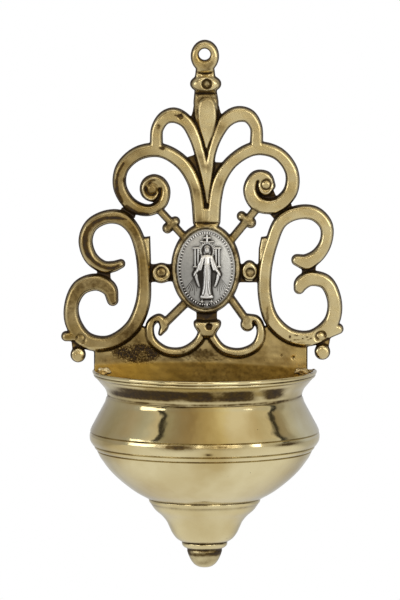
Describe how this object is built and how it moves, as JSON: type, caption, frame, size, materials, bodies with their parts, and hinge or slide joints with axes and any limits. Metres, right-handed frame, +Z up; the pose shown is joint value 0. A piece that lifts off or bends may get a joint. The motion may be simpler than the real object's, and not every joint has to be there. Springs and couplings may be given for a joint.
{
  "type": "wall-hung holy water stoup",
  "caption": "Wall-hung cast brass holy water stoup with an openwork scroll plate, an oval medal and a half-round bowl.",
  "frame": {"origin": "centre of the hanging hole on the wall plane", "axes": "+X to the viewer's right along the wall, -Y out of the wall, +Z up"},
  "size_m": [0.1067, 0.0465, 0.2002],
  "materials": {
    "cast_brass": "cast and buffed, with dark patina in the recesses",
    "polished_brass": "turned and polished",
    "medal_silver": "struck white metal, oxidised in the recesses",
    "solder": "soft solder, dulled"
  },
  "bodies": {
    "root": {"back_plate": "cast_brass", "bowl": "polished_brass", "bowl_solder_seam": "solder", "bowl_screws": "polished_brass", "drop_cone": "polished_brass", "drop_tip": "polished_brass", "drop_stud": "polished_brass", "medal": "medal_silver", "medal_solder": "solder"}
  },
  "joints": []
}
